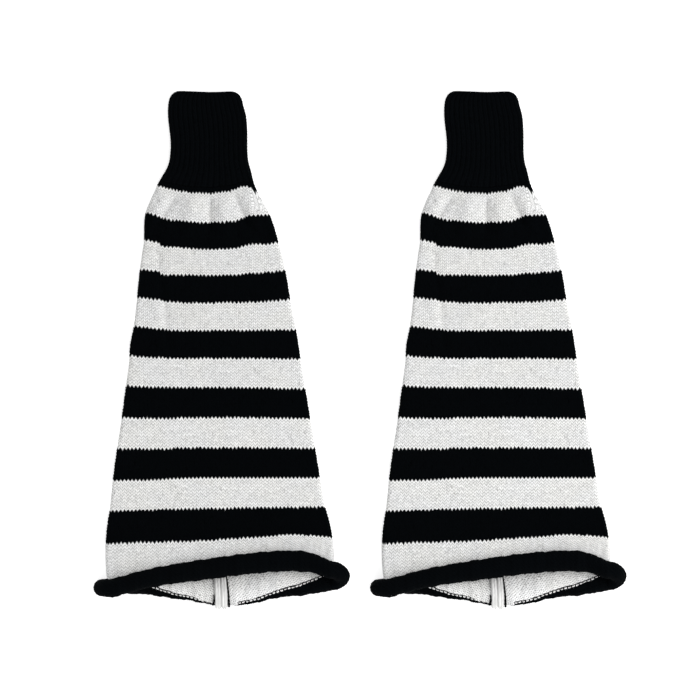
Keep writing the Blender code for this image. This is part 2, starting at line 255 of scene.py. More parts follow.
def ring_sizes(row):
    """Middle, half width and fold radius of the flattened ring at a row."""
    fold = through(SECTIONS, "gap", row) / 2
    left, right = through(SECTIONS, "left", row), through(SECTIONS, "right", row)
    for bulge in EDGE_BULGES:
        near = np.exp(-(((row - bulge.row) / bulge.rows) ** 2))
        left = left - bulge.left * near
        right = right + bulge.right * near
    edge_in = CUFF_EDGE_IN + (BODY_EDGE_IN - CUFF_EDGE_IN) * eased(row / 14)
    edge_in = edge_in + HEM_EDGE_IN * eased((row - 95) / 15)
    return (left + right) / 2, (right - left) / 2 - edge_in - underside(row) - fold, fold


def fold_height(x, y):
    """How far the soft folds raise the upper layer."""
    height = np.zeros_like(x)
    for fold in FOLDS:
        run_x, run_y = fold.x_end - fold.x_top, fold.y_end - fold.y_top
        length = np.hypot(run_x, run_y)
        along = ((x - fold.x_top) * run_x + (y - fold.y_top) * run_y) / length**2
        across = ((x - fold.x_top) * run_y - (y - fold.y_top) * run_x) / length
        past = np.maximum(0.0, np.maximum(-along, along - 1.0)) * length / 9.0
        height -= fold.depth * np.exp(-(past**2)) * np.exp(-((across / fold.half_width) ** 2))
    return height


def row_shift(x, y):
    """How far up a point of the upper layer lies from its row's even curve."""
    up = np.zeros_like(x)
    for shift in SHIFTS:
        far = ((x - shift.x) / shift.half_width) ** 2 + ((y - shift.y) / shift.half_length) ** 2
        up += shift.up * np.exp(-far)
    side = np.tanh((x - CREASE.x) / 1.3)
    step = CREASE.left_up * (1 - side) / 2 - CREASE.right_down * (1 + side) / 2
    step = step * np.exp(-(((x - CREASE.x) / CREASE.reach) ** 2))
    return up + step * eased((CREASE.y_top - y) / 10) * eased((y - CREASE.y_end) / 25)


def even_rows(across, turn, row):
    """Places in x and y where the tube lies flat, with every row an even curve."""
    middle, half, fold = ring_sizes(row)
    x = middle + across * half + np.copysign(fold * np.sin(turn), across)
    rise = np.where(across < 0, through(SECTIONS, "left_up", row), through(SECTIONS, "right_up", row))
    hung = (1 - np.cos(turn)) / 2 * np.clip(row / BACK_SLOPE_FULL_ROW, 0.0, 1.0)
    y = through(SECTIONS, "y", row) + rise * (across**2 * (1 - hung) + hung)
    y = y - CUFF_TOP_DIP * eased((-27 - row) / 7) * np.exp(-(((x + 8.7) / 17) ** 2))
    return x, y - BACK_SLOPE * half * (1 - np.abs(across)) * hung, fold


def flat_points(across, turn, row):
    """Points of the inside face where the tube lies flat."""
    front = (1 + np.cos(turn)) / 2
    x, y, _ = even_rows(across, turn, row)
    row = row - front * row_shift(x, y) / ROW_PITCH
    x, y, fold = even_rows(across, turn, row)
    begun = eased(row / FOLDS_BEGIN_OVER_ROWS)
    z = underside(row) + 2 * fold * front + front * begun * (1 - across**6) * fold_height(x, y)
    return np.stack((x, y, z), -1)


def roll_frame(across, turn):
    """The hem roll's centre, and its outward direction in x and z."""
    front = (1 + np.cos(turn)) / 2
    x = across * ROLL_STRAIGHT_HALF
    y, z = (
        through(ROLL_FRONT, name, x) * front + through(ROLL_BACK, name, x) * (1 - front)
        for name in ("y", "z")
    )
    out_x, out_z = np.copysign(np.sin(turn), across), np.cos(turn)
    return np.stack((x + ROLL_TURN_RADIUS * out_x, y, z), -1), out_x, out_z


def hem_points(across, turn, row):
    """Points of the inside face past the last flat row: first lifted, then curled outwards."""
    front = (1 + np.cos(turn)) / 2
    start = flat_points(across, turn, np.full_like(row, LAST_FLAT_ROW))
    centre, out_x, out_z = roll_frame(across, turn)
    outward = np.stack((out_x, np.zeros_like(out_x), out_z), -1)
    thinner = np.where(turn > 3.14, eased((-0.75 - across) / 0.25), eased(turn / 0.9)) * (across < 0)
    full = ROLL_RADIUS - ROLL_LEFT_END_THINNER * thinner
    right_end = ROLL_RIGHT_END_SHARE * eased((across - 0.7) / 0.3)
    full = full + ROLL_FRONT_FULLER * (front * eased((across + 0.7) / 0.7) - right_end)
    for bump in ROLL_BUMPS:
        full = full + bump.height * np.sin(2 * np.pi * (centre[..., 0] / bump.length + bump.start))
    landing = centre - full[..., None] * outward
    lift = np.linalg.norm(start - landing, axis=-1)
    middle = TURNED_FRONT_MIDDLE * front + TURNED_BACK_MIDDLE * (1 - front)
    turned = middle + (TURNED_SIDES - middle) * across**2
    end_angle = ROLL_END_FRONT * front + ROLL_END_BACK * (1 - front)
    before = (row - LAST_FLAT_ROW) / (HEM_ROW - LAST_FLAT_ROW)
    everywhere, at_right, at_fold = ROWS_LOWER_BEFORE_HEM
    lower = everywhere + at_right * eased(across) + at_fold * eased((across - 0.6) / 0.3)
    before = before + before * (1 - before) * front * lower
    before = (lift + turned) * before
    after = (end_angle * ROLL_RADIUS - turned) * (row - HEM_ROW) / (LAST_ROW - HEM_ROW)
    reach = np.where(row <= HEM_ROW, before, lift + turned + after)
    angle = (reach - lift) / ROLL_RADIUS
    radius = full - ROLL_TIGHTENS * np.maximum(0.0, angle / np.pi - 1)
    curled = centre - (radius * np.cos(angle))[..., None] * outward
    curled[..., 1] -= radius * np.sin(angle)
    curled[..., 2] = np.maximum(curled[..., 2], 0.0)
    t = np.clip(reach / lift, 0.0, 1.0)
    lifted = start + (landing - start) * t[..., None]
    lifted[..., 0] += HEM_SPREAD * 4 * t * (1 - t) * across
    lifted[..., 2] = start[..., 2] + (landing - start)[..., 2] * eased(t**LIFT_POWER)
    return np.where((reach > lift)[..., None], curled, lifted)


def cloth_points(ring, row):
    """Points of the inside face. ring runs round the tube from -3 at the seam, over the left
    fold (-2 to -1), the front and the right fold (1 to 2), back to the seam at 3."""
    ring = np.clip(ring, -3.0, 3.0)
    size = np.abs(ring)
    across = np.sign(ring) * np.where(size < 1, size, np.where(size < 2, 1.0, 3 - size))
    across = np.where(across == 0, 1e-9 * np.sign(ring + 1e-12), across)
    turn = np.pi * np.clip(size - 1, 0.0, 1.0)
    flat = flat_points(across, turn, np.minimum(row, LAST_FLAT_ROW))
    hem = hem_points(across, turn, np.maximum(row, LAST_FLAT_ROW))
    return np.where((row > LAST_FLAT_ROW)[..., None], hem, flat)


def cloth_normals(ring, row):
    """Unit normals of the inside face, towards the outside of the garment."""
    ring, row = np.clip(ring, -3.0, 3.0), np.maximum(row, FIRST_ROW)
    along = cloth_points(ring, row + 0.4) - cloth_points(ring, row - 0.4)
    round_it = cloth_points(ring + 0.02, row) - cloth_points(ring - 0.02, row)
    normal = np.cross(along, round_it)
    normal[..., 1] *= np.clip((row - FIRST_ROW) / SQUARE_END_ROWS, 0.0, 1.0)
    return normal / np.linalg.norm(normal, axis=-1, keepdims=True)


# Stitches of the panel: how wide a wale is at a row, then how the grid of points is laid
WalePitch = namedtuple("WalePitch", "row wide")
WALE_PITCHES = (
    WalePitch(-4, 2.7),
    WalePitch(0, 2.8),
    WalePitch(13, 3.15),
    WalePitch(25, 3.27),
    WalePitch(110, 3.3),
    WalePitch(151, 3.3),
)
FIRST_WALE_X = -5.0
MOST_WALES = 72
STITCH_SLANT = 0.92
POINTS_PER_WALE = 4
POINTS_PER_ROW = 2
UNEVENNESS = 0.06
PANEL_FIRST_ROW = -2
PANEL_SPLIT_ROW = 100
PANEL_LAST_ROW = 134
MOUTH_FROM_ROW = 116


def panel_ring(wale, row):
    """Where a wale of the panel runs round the tube, and how many wales there are to the seam."""
    middle, half, fold = ring_sizes(np.minimum(row, LAST_FLAT_ROW))
    lifted = eased((row - LAST_FLAT_ROW) / (HEM_ROW - LAST_FLAT_ROW))
    middle = middle * (1 - lifted)
    half = half + (ROLL_STRAIGHT_HALF - half) * lifted
    fold_length = np.pi * (fold + WALL / 2 + (ROLL_TURN_RADIUS - fold - WALL / 2) * lifted)
    side = np.where(wale < 0, -1.0, 1.0)
    wide = through(WALE_PITCHES, "wide", row)
    distance = np.abs(wale) * wide
    front_end = half + side * (middle - FIRST_WALE_X)
    on_front = side * (FIRST_WALE_X + side * distance - middle) / half
    on_fold = 1 + (distance - front_end) / fold_length
    on_back = 2 + (distance - front_end - fold_length) / half
    ring = np.where(distance < front_end, on_front, np.where(on_fold < 2, on_fold, on_back))
    return side * ring, (front_end + fold_length + half) / wide


def slanted(wale, row):
    """How far a stitch's leg rises or drops, in rows, between its wale's edge and middle."""
    begun = np.clip(row - PANEL_FIRST_ROW, 0.0, 1.0)
    return STITCH_SLANT * (0.5 - 2 * np.abs(wale % 1.0 - 0.5)) * begun


def knit_piece(
    name, ring_of, most, rows_outside, rows_inside, thickness, slant, wale_points=POINTS_PER_WALE
):
    """A closed wall of knitting as a mesh, in one leg warmer's own place.

    Outside and inside are grids of points on the same wales. Wales past the seam end in it.
    Each point keeps its wale, row, outward direction and which face it is on, for the nodes
    that raise the stitches.
    """
    rng = np.random.default_rng(7)
    wale = np.arange(-most * wale_points, most * wale_points + 1) / wale_points
    points, normals, wales, rows, faces_of, triangles, corners = [], [], [], [], [], [], []
    rims = []
    total = 0
    for inside, row_list in ((False, rows_outside), (True, rows_inside)):
        w, r = np.meshgrid(wale, np.array(row_list, float))
        wobble = rng.normal(0.0, UNEVENNESS, (2, *r.shape))
        by_stitch = rng.normal(0.0, UNEVENNESS * 1.6, (len(row_list), 2 * most + 1))
        wobble[0] += np.repeat(by_stitch, wale_points, axis=1)[:, : r.shape[1]]
        edge = (r == r[0]) | (r == r[-1])
        wobble[:, edge] = 0.0
        r_here = r + (0.0 if inside else slant(w, r)) + wobble[0]
        ring, wales_to_seam = ring_of(w + wobble[1] * 0.6, r_here)
        _, end = ring_of(w, r)
        kept = np.abs(w) < end - 0.3 / wale_points
        at_seam = ~kept
        number = np.cumsum(kept.ravel()).reshape(kept.shape) - 1 + total
        seam_number = total + kept.sum() + np.arange(len(row_list))
        number = np.where(at_seam, seam_number[:, None], number)
        seam_ring, seam_row = np.full(len(row_list), 3.0), np.array(row_list, float)
        ring_all = np.concatenate((ring[kept], seam_ring))
        row_all = np.concatenate((r_here[kept], seam_row))
        place = cloth_points(ring_all, row_all)
        normal = cloth_normals(ring_all, row_all)
        if not inside:
            place = place + normal * thickness(row_all)[:, None]
        points.append(place)
        normals.append(-normal if inside else normal)
        seam_wale = np.zeros(len(row_list))
        wales.append(np.concatenate((w[kept], seam_wale)))
        rows.append(np.concatenate((r[kept], seam_row)))
        faces_of.append(np.full(len(place), 1.0 if inside else 0.0))
        quad = np.stack((number[:-1, :-1], number[1:, :-1], number[1:, 1:], number[:-1, 1:]), -1)
        uv = np.stack((w, r), -1)
        quad_uv = np.stack((uv[:-1, :-1], uv[1:, :-1], uv[1:, 1:], uv[:-1, 1:]), -2)
        quad, quad_uv = quad.reshape(-1, 4), quad_uv.reshape(-1, 4, 2)
        if inside:
            quad, quad_uv = quad[:, ::-1], quad_uv[:, ::-1]
        triangles += [quad[:, [0, 1, 2]], quad[:, [0, 2, 3]]]
        corners += [quad_uv[:, [0, 1, 2]], quad_uv[:, [0, 2, 3]]]
        rims.append(((number[0], uv[0]), (number[-1], uv[-1])))
        total += len(place)
    for end in (0, 1):
        (outer, uv_outer), (inner, uv_inner) = rims[0][end], rims[1][end]
        quad = np.stack((outer[:-1], outer[1:], inner[1:], inner[:-1]), -1)
        quad_uv = np.stack((uv_outer[:-1], uv_outer[1:], uv_inner[1:], uv_inner[:-1]), -2)
        if end:
            quad, quad_uv = quad[:, ::-1], quad_uv[:, ::-1]
        triangles += [quad[:, [0, 1, 2]], quad[:, [0, 2, 3]]]
        corners += [quad_uv[:, [0, 1, 2]], quad_uv[:, [0, 2, 3]]]
    triangles, corners = np.concatenate(triangles), np.concatenate(corners)
    a, b, c = triangles.T
    whole = (a != b) & (b != c) & (c != a)
    triangles, corners = triangles[whole], corners[whole]
    mesh = bpy.data.meshes.new(name)
    mesh.from_pydata((np.concatenate(points) * MM).tolist(), [], triangles.tolist())
    uv_map = mesh.uv_layers.new(name="knit")
    uv_map.data.foreach_set("uv", corners.reshape(-1).astype(np.float32))
    for label, values in (("wale", wales), ("row", rows), ("purl", faces_of)):
        attribute = mesh.attributes.new(label, "FLOAT", "POINT")
        attribute.data.foreach_set("value", np.concatenate(values).astype(np.float32))
    attribute = mesh.attributes.new("outward", "FLOAT_VECTOR", "POINT")
    attribute.data.foreach_set("vector", np.concatenate(normals).astype(np.float32).reshape(-1))
    mesh.shade_smooth()
    return mesh


class Strand:
    """A socket in a node tree that can be used in sums."""

    def __init__(self, tree, socket=None):
        self.tree = tree
        self.socket = socket

    def node(self, kind, settings=None, inputs=None, out=0):
        """A new node with its settings, then its sockets' values or links; one of its outputs."""
        made = self.tree.nodes.new(kind)
        for name, value in (settings or {}).items():
            if name == "stops":
                ramp = made.color_ramp
                while len(ramp.elements) < len(value):
                    ramp.elements.new(1.0)
                for element, (place, colour) in zip(ramp.elements, value):
                    element.position = place
                    element.color = colour
            else:
                setattr(made, name, value)
        for name, value in (inputs or {}).items():
            socket = made.inputs[name]
            if isinstance(value, Strand):
                self.tree.links.new(value.socket, socket)
            else:
                socket.default_value = value
        return Strand(self.tree, made.outputs[out])

    def math(self, operation, *others):
        """A sum that starts with this strand, such as FLOOR, or ADD with another."""
        values = dict(enumerate((self, *others)))
        return self.node("ShaderNodeMath", {"operation": operation}, values)

    def __add__(self, other):
        return self.math("ADD", other)

    def __sub__(self, other):
        return self.math("SUBTRACT", other)

    def __mul__(self, other):
        return self.math("MULTIPLY", other)

    def __rsub__(self, other):
        return self.node("ShaderNodeMath", {"operation": "SUBTRACT"}, {0: other, 1: self})

    __radd__ = __add__
    __rmul__ = __mul__

    def wave(self):
        """0 at whole numbers and 1 half way between them."""
        return 0.5 - (self * (2 * np.pi)).math("COSINE") * 0.5

    def mix(self, share, first, second, blend="MIX"):
        """The first colour at share 0 and the second, blended in, at share 1."""
        settings = {"data_type": "RGBA", "blend_type": blend}
        return self.node("ShaderNodeMix", settings, {"Factor": share, 6: first, 7: second}, out=2)

    def smooth(self, low, high):
        """0 below low, 1 above high, and eased between them."""
        settings = {"interpolation_type": "SMOOTHSTEP"}
        return self.node("ShaderNodeMapRange", settings, {0: self, 1: low, 2: high, 3: 0.0, 4: 1.0})


def relief_tree(name, height_of):
    """Geometry nodes that press the gaps between stitches into a piece of knitting.

    height_of takes the wale, the row and the face, and gives 1 on top of a stitch and 0 in a gap.
    """
    tree = bpy.data.node_groups.new(name, "GeometryNodeTree")
    tree.interface.new_socket("Geometry", in_out="INPUT", socket_type="NodeSocketGeometry")
    tree.interface.new_socket("Stitch depth", in_out="INPUT", socket_type="NodeSocketFloat")
    tree.interface.new_socket("Yarn", in_out="INPUT", socket_type="NodeSocketMaterial")
    tree.interface.new_socket("Geometry", in_out="OUTPUT", socket_type="NodeSocketGeometry")
    maker = Strand(tree)
    given = tree.nodes.new("NodeGroupInput")
    depth = Strand(tree, given.outputs["Stitch depth"])
    wale, row, purl = (
        maker.node("GeometryNodeInputNamedAttribute", {"data_type": "FLOAT"}, {"Name": label})
        for label in ("wale", "row", "purl")
    )
    outward = maker.node(
        "GeometryNodeInputNamedAttribute", {"data_type": "FLOAT_VECTOR"}, {"Name": "outward"}
    )
    stitch = maker.node(
        "ShaderNodeCombineXYZ", None, {0: wale.math("FLOOR"), 1: row.math("FLOOR"), 2: purl}
    )
    uneven = maker.node("ShaderNodeTexWhiteNoise", {"noise_dimensions": "3D"}, {"Vector": stitch})
    sunk = depth * (height_of(wale, row, purl) - 1.0) * (0.8 + uneven * 0.4)
    offset = maker.node("ShaderNodeVectorMath", {"operation": "SCALE"}, {0: outward, "Scale": sunk})
    moved = maker.node(
        "GeometryNodeSetPosition",
        None,
        {"Geometry": Strand(tree, given.outputs["Geometry"]), "Offset": offset},
    )
    real = maker.node("GeometryNodeRealizeInstances", None, {"Geometry": moved})
    yarn = Strand(tree, given.outputs["Yarn"])
    dressed = maker.node("GeometryNodeSetMaterial", None, {"Geometry": real, "Material": yarn})
    tree.links.new(dressed.socket, tree.nodes.new("NodeGroupOutput").inputs[0])
    return tree


def knitted(name, mesh, tree, depth, yarn):
    """A piece with its stitches raised, as a plain mesh."""
    raw = bpy.data.objects.new(name + "_raw", mesh)
    scene.collection.objects.link(raw)
    nodes = raw.modifiers.new("stitches", "NODES")
    nodes.node_group = tree
    given = [item for item in tree.interface.items_tree if item.in_out == "INPUT"]
    sockets = {item.name: item.identifier for item in given}
    nodes[sockets["Stitch depth"]] = depth * MM
    nodes[sockets["Yarn"]] = yarn
    bpy.context.view_layer.update()
    raised = raw.evaluated_get(bpy.context.evaluated_depsgraph_get())
    made = bpy.data.meshes.new_from_object(raised)
    bpy.data.objects.remove(raw)
    made.name = name
    return made


def vertex_places(mesh):
    places = np.empty(len(mesh.vertices) * 3)
    mesh.vertices.foreach_get("co", places)
    return places.reshape(-1, 3)


def place_pair(name, mesh, node):
    """The same piece in the left and in the right leg warmer."""
    made = []
    for side, direction in (("left", -1), ("right", 1)):
        copy = mesh.copy()
        aside = (direction * PAIR_SPACING / 2 * MM, 0.0, 0.0)
        copy.vertices.foreach_set("co", (vertex_places(mesh) + aside).reshape(-1))
        piece = bpy.data.objects.new(f"{side}_{name}", copy)
        scene.collection.objects.link(piece)
        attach(piece, "root")
        if node:
            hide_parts(f"{side}_{node}")
        made.append(piece)
    return made


PURL_ROWS_CLOSER = 1.35


def leg_of_stitch(wale):
    """1 along the middle of each of a stitch's two legs, and 0 beside them."""
    across = (wale.math("FRACT") - 0.5).math("ABSOLUTE") * 2
    return 1 - (across - 0.5).math("ABSOLUTE") * 2


def purl_bumps(wale, row):
    """1 on top of a purl bump and 0 between bumps, which are set like bricks."""
    close_row = (row * PURL_ROWS_CLOSER).wave()
    return 0.5 + (0.5 - wale.wave()) * (0.5 - close_row) * 2


def jersey_height(wale, row, purl):
    """Knit side: two slanted legs to a stitch. Purl side: rows of bumps."""
    leg = leg_of_stitch(wale)
    tall = row.wave()
    knit = leg * (0.5 + tall * 0.5) + (1 - leg) * (0.05 + tall * 0.25)
    return knit + (purl_bumps(wale, row) - knit) * purl


# Yarn colours: the white is a slightly grey cotton and the black swallows nearly all light. The two gap
# colours are painted shade for the gaps between stitches
WHITE_YARN = (0.93, 0.93, 0.925, 1.0)
WHITE_GAP_PAINTED_SHADE = (0.1, 0.1, 0.097, 1.0)
BLACK_YARN = (0.0012, 0.0018, 0.0024, 1.0)
BLACK_GAP_PAINTED_SHADE = (0.0008, 0.0011, 0.0014, 1.0)
WARM_TINT = (1.0, 0.998, 0.987, 1.0)
COOL_TINT = (0.988, 0.991, 0.997, 1.0)
# How strongly painted shade darkens the gaps between rows and between wales, near the cuff and near the
# hem, and the gaps between purl bumps
ROW_GAP_SHADE_AT_CUFF = 0.64
ROW_GAP_SHADE_AT_HEM = 0.65
WALE_GAP_SHADE_AT_CUFF = 0.6
WALE_GAP_SHADE_AT_HEM = 0.34
PURL_GAP_SHADE = 0.8


def yarn_material(name, is_black):
    """Knitted yarn, with painted shade in the gaps between stitches. is_black takes the wale, row and
    face and gives 1 where the yarn is black.
    """
    material = bpy.data.materials.new(name)
    material.use_nodes = True
    tree = material.node_tree
    shader = tree.nodes["Principled BSDF"]
    shader.inputs["Roughness"].default_value = 0.9
    shader.inputs["Specular IOR Level"].default_value = 0.02
    maker = Strand(tree)
    uv = maker.node("ShaderNodeUVMap", {"uv_map": "knit"})
    split = tree.nodes.new("ShaderNodeSeparateXYZ")
    tree.links.new(uv.socket, split.inputs[0])
    wale, row = Strand(tree, split.outputs[0]), Strand(tree, split.outputs[1])
    purl = maker.node("ShaderNodeAttribute", {"attribute_name": "purl"}, out=2)
    place = maker.node("ShaderNodeTexCoord", out=3)
    # Painted shade: gap says how far the colour is darkened in the gaps between rows, between wales and
    # between purl bumps, varied at random per half stitch, and a few random stitches are darker still
    down_leg = row.smooth(35.0, 90.0)
    row_gap_shade = ROW_GAP_SHADE_AT_CUFF + (ROW_GAP_SHADE_AT_HEM - ROW_GAP_SHADE_AT_CUFF) * down_leg
    wale_gap_shade = WALE_GAP_SHADE_AT_CUFF + (WALE_GAP_SHADE_AT_HEM - WALE_GAP_SHADE_AT_CUFF) * down_leg
    row_gap_shade = row_gap_shade * (1 - row.wave().smooth(0.0, 0.6))
    wale_gap_shade = wale_gap_shade * (1 - leg_of_stitch(wale).smooth(0.0, 0.45))
    knit_gap_shade = row_gap_shade.math("MAXIMUM", wale_gap_shade)
    purl_gap_shade = (1 - purl_bumps(wale, row).smooth(0.05, 0.5)) * PURL_GAP_SHADE
    gap = knit_gap_shade + (purl_gap_shade - knit_gap_shade) * purl
    half_stitch = {0: (wale * 2).math("FLOOR"), 1: row.math("FLOOR")}
    stitch = maker.node("ShaderNodeCombineXYZ", None, half_stitch)
    uneven = maker.node("ShaderNodeTexWhiteNoise", {"noise_dimensions": "3D"}, {"Vector": stitch})
    gap = gap * ((0.62 + uneven * 0.36) * (1 - purl) + (0.7 + uneven * 0.4) * purl)
    other = maker.node("ShaderNodeVectorMath", {"operation": "ADD"}, {0: stitch, 1: (0.5, 0.5, 0.5)})
    other = maker.node("ShaderNodeTexWhiteNoise", {"noise_dimensions": "3D"}, {"Vector": other})
    gap = gap + other.smooth(0.7, 1.0) * 0.05
    patches = maker.node("ShaderNodeTexNoise", None, {"Vector": place, "Scale": 38.0, "Detail": 2.0})
    tint = maker.mix(patches.smooth(0.35, 0.65), WARM_TINT, COOL_TINT)
    # Each yarn is blended by gap towards its painted gap shade
    white = maker.mix(gap, WHITE_YARN, WHITE_GAP_PAINTED_SHADE)
    white = maker.mix(1.0, white, tint, "MULTIPLY")
    black = maker.mix(gap, BLACK_YARN, BLACK_GAP_PAINTED_SHADE)
    colour = maker.mix(is_black(wale, row, purl), white, black)
    tree.links.new(colour.socket, shader.inputs["Base Color"])
    ply = (wale * 9.0 + row * 2.0).wave()
    fibre = maker.node("ShaderNodeTexNoise", None, {"Vector": place, "Scale": 2600.0, "Detail": 3.0})
    bump = maker.node(
        "ShaderNodeBump", None, {"Strength": 0.35, "Distance": 0.0004, "Height": ply * 0.5 + fibre * 0.8}
    )
    tree.links.new(bump.socket, shader.inputs["Normal"])
    return material


# Stripes: inside the mouth the hem's black begins a row sooner, with a line of white dashes in
# it, and the last wales beside the seam lag behind
STRIPE_ROWS = 10.0
STRIPES_END_ROW = 125.0
INNER_BLACK_ROW = 130.6
DASHES_ROW = 131.0
DASHES_END_ROW = 131.42
DASH_BREAK = 0.3
ROWS_LATE_BY_SEAM = 0.9
LAST_WALE_AT_HEM = 65.6
WALES_BY_SEAM = 2.6


def black_band(row):
    """Black in every second band of ten rows."""
    band = row.math("FLOORED_MODULO", 2 * STRIPE_ROWS).math("GREATER_THAN", STRIPE_ROWS)
    return band * row.math("LESS_THAN", STRIPES_END_ROW)


def stripes(wale, row, purl):
    """The bands, with black in the cuff above them and in the hem below."""
    right_of_seam = wale.math("GREATER_THAN", LAST_WALE_AT_HEM - WALES_BY_SEAM)
    left_of_seam = 1 - (wale + LAST_WALE_AT_HEM).smooth(3.0, 10.0)
    inner_row = row.math("GREATER_THAN", INNER_BLACK_ROW + left_of_seam * ROWS_LATE_BY_SEAM)
    inner_row = inner_row * (1 - right_of_seam)
    dashes = row.math("GREATER_THAN", DASHES_ROW) * row.math("LESS_THAN", DASHES_END_ROW)
    dashes = dashes * wale.wave().math("GREATER_THAN", DASH_BREAK)
    band = black_band(row).math("MAXIMUM", row.math("LESS_THAN", 0.0))
    knit = band.math("MAXIMUM", row.math("GREATER_THAN", float(HEM_ROW)))
    black_hem = row.math("GREATER_THAN", HEM_ROW + right_of_seam * ROWS_LATE_BY_SEAM)
    back = band.math("MAXIMUM", black_hem).math("MAXIMUM", inner_row) * (1 - dashes)
    return knit + (back - knit) * purl


striped_yarn = yarn_material("striped_yarn", stripes)
jersey = relief_tree("jersey stitches", jersey_height)
STITCH_DEPTH = 1.0


def panel_thickness(row):
    return np.full_like(row, WALL)


def every(first, last, step):
    return np.linspace(first, last, int(round((last - first) / step)) + 1)


upper_mesh = knit_piece(
    "panel_upper", panel_ring, MOST_WALES,
    every(PANEL_FIRST_ROW, PANEL_SPLIT_ROW, 1 / POINTS_PER_ROW),
    every(PANEL_FIRST_ROW, PANEL_SPLIT_ROW, 6.0),
    panel_thickness, slanted,
)
upper_mesh = knitted("panel_upper", upper_mesh, jersey, STITCH_DEPTH, striped_yarn)
panel_upper = place_pair("panel_upper", upper_mesh, "body")
lower_mesh = knit_piece(
    "panel_lower", panel_ring, MOST_WALES,
    every(PANEL_SPLIT_ROW, PANEL_LAST_ROW, 1 / POINTS_PER_ROW),
    np.concatenate((
        every(PANEL_SPLIT_ROW, MOUTH_FROM_ROW, 2.0),
        every(MOUTH_FROM_ROW, PANEL_LAST_ROW, 1 / PURL_ROWS_CLOSER / 2)[1:],
    )),
    panel_thickness, slanted,
)
lower_mesh = knitted("panel_lower", lower_mesh, jersey, STITCH_DEPTH, striped_yarn)
panel_lower = place_pair("panel_lower", lower_mesh, "body")

# The hem: the panel's last rows, in black. Jersey curls towards its knit side at a free edge,
# so the roll shows the bumpy purl side. Nothing is sewn; the loose edge lies inside the curl.
HEM_DEPTH = 0.9


def all_black(wale, row, purl):
    return wale * 0.0 + 1.0


black_yarn = yarn_material("black_yarn", all_black)
hem_mesh = knit_piece(
    "hem_roll", panel_ring, MOST_WALES,
    every(PANEL_LAST_ROW, LAST_ROW, 1.0),
    every(PANEL_LAST_ROW, LAST_ROW, 1 / POINTS_PER_ROW),
    panel_thickness, slanted,
)
hem_mesh = knitted("hem_roll", hem_mesh, jersey, HEM_DEPTH, black_yarn)
hem_roll = place_pair("hem_roll", hem_mesh, "hem")

# The cuff: a tight band of one-by-one rib in the black yarn, knitted first. Its knit wales
# stand up as ribs with a line of stitches on each, and its purl wales are hidden between them.
RIBS_ACROSS_PANEL = 14
RIBS_ROUND_FOLD = 3
CUFF_DEPTH = 1.1


def cuff_ring(rib, row):
    """Where a rib runs round the cuff, and how many ribs there are to the seam."""
    side = np.where(rib < 0, -1.0, 1.0)
    count = np.abs(rib)
    front_end = RIBS_ACROSS_PANEL / 2
    on_fold = 1 + (count - front_end) / RIBS_ROUND_FOLD
    on_back = 2 + (count - front_end - RIBS_ROUND_FOLD) / front_end
    ring = np.where(count < front_end, count / front_end, np.where(on_fold < 2, on_fold, on_back))
    return side * ring, np.full_like(rib, RIBS_ACROSS_PANEL + RIBS_ROUND_FOLD)


def rib_slanted(rib, row):
    slant = STITCH_SLANT * (0.5 - np.clip(np.abs(rib % 1.0 - 0.5) / 0.3, 0.0, 1.0))
    return slant * np.clip(np.minimum(row - FIRST_ROW, PANEL_FIRST_ROW - row), 0.0, 1.0)


def rib_height(rib, row, purl):
    across = (rib.math("FRACT") - 0.5).math("ABSOLUTE")
    stands = 1 - across.smooth(0.2, 0.45)
    leg = across.smooth(0.0, 0.13)
    knit = stands * (0.55 + leg * 0.25 + row.wave() * 0.2)
    return knit + (1 - knit) * purl


def cuff_thickness(row):
    return WALL + (CUFF_WALL + RIB_HEIGHT - WALL) * eased((PANEL_FIRST_ROW - row) / 5)


rib_stitches = relief_tree("rib stitches", rib_height)
cuff_mesh = knit_piece(
    "cuff_rib", cuff_ring, RIBS_ACROSS_PANEL + RIBS_ROUND_FOLD,
    every(FIRST_ROW, PANEL_FIRST_ROW, 1 / POINTS_PER_ROW),
    every(FIRST_ROW, PANEL_FIRST_ROW, 4.0),
    cuff_thickness, rib_slanted, wale_points=8,
)
cuff_mesh = knitted("cuff_rib", cuff_mesh, rib_stitches, CUFF_DEPTH, black_yarn)
cuff_rib = place_pair("cuff_rib", cuff_mesh, "cuff")

# The seam: the panel's two edges, joined edge to edge up the middle of the back. Inside, the
# selvedges stand up as two soft ropy ridges, with a black yarn carried up beside them.
SEAM_GAP = 0.3
SEAM_WIDTH = 11.0
SEAM_FIRST_ROW = 3
SEAM_LAST_ROW = 149.0
SEAM_WHITE_UNTIL_ROW = 133.3
SEAM_HEIGHT_TOP = 1.0
SEAM_HEIGHT_HEM = 2.4
SEAM_GROWTH_POWER = 10
SEAM_DETAIL_FROM_ROW = 104
SEAM_PLAIN_STEP = 5.05
SEAM_DETAIL_STEP = 0.37
SEAM_LIGHT = (0.8, 0.8, 0.79, 1.0)
SEAM_SHADE = (0.6, 0.6, 0.59, 1.0)


def seam_points(share, row, lift):
    """Points over the middle of the back's inside; share runs from -1 to 1 across the seam."""
    middle = cloth_points(np.full_like(row, 3.0), row)
    normal = cloth_normals(np.full_like(row, 3.0), row)
    middle = middle - normal * lift[..., None]
    middle[..., 0] += share * SEAM_WIDTH / 2
    return middle


